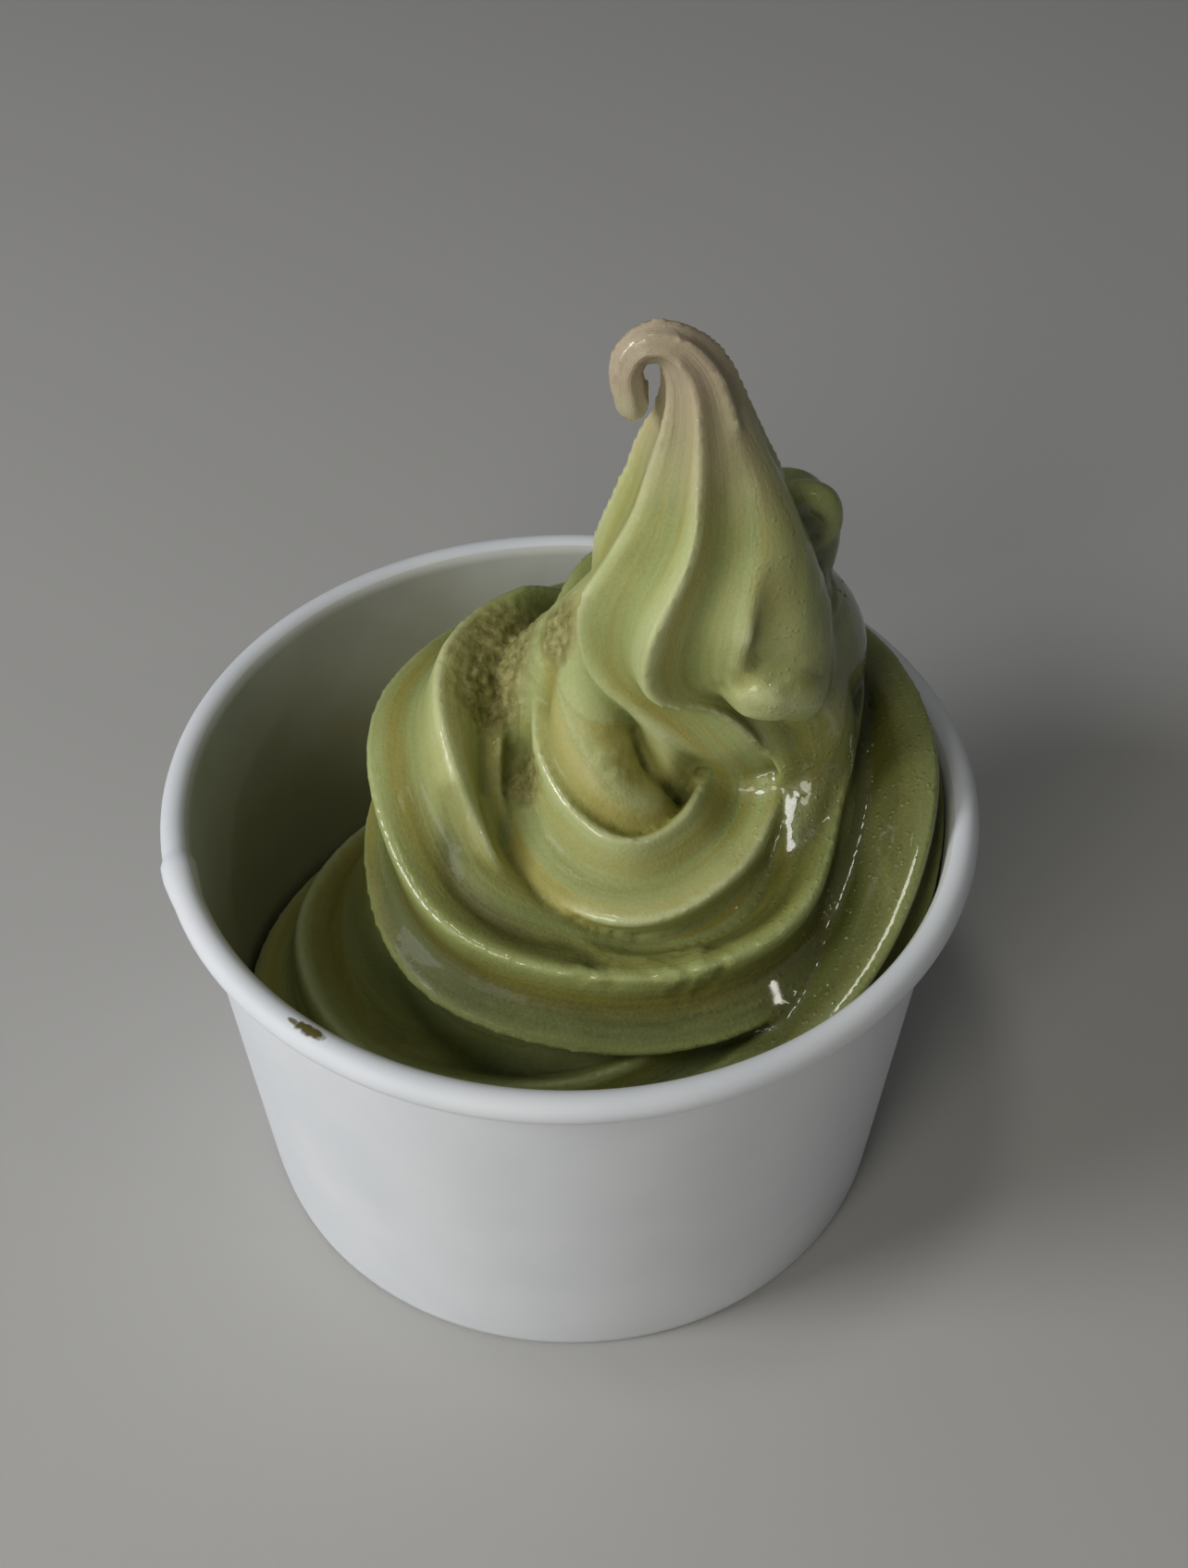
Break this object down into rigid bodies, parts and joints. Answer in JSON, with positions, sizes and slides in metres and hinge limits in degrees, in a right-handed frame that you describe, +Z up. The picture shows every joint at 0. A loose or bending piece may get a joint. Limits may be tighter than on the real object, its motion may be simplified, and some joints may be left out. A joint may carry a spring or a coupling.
{
  "type": "soft serve ice cream cup",
  "caption": "Straight-sided paper cup with a rolled rim, filled with a coil of soft serve drawn up into a hooked tip.",
  "frame": {"origin": "centre of the cup's underside", "axes": "+Z up along the cup's axis, -Y towards the viewer, +X to the viewer's right, the tip hooks towards -X"},
  "size_m": [0.096, 0.096, 0.1212],
  "materials": {
    "paper": "matt coated white paper",
    "soft_serve": "wet, partly glossy olive green soft serve"
  },
  "bodies": {
    "root": {"cup_wall": "paper", "cup_base": "paper", "soft_serve": "soft_serve"}
  },
  "joints": []
}
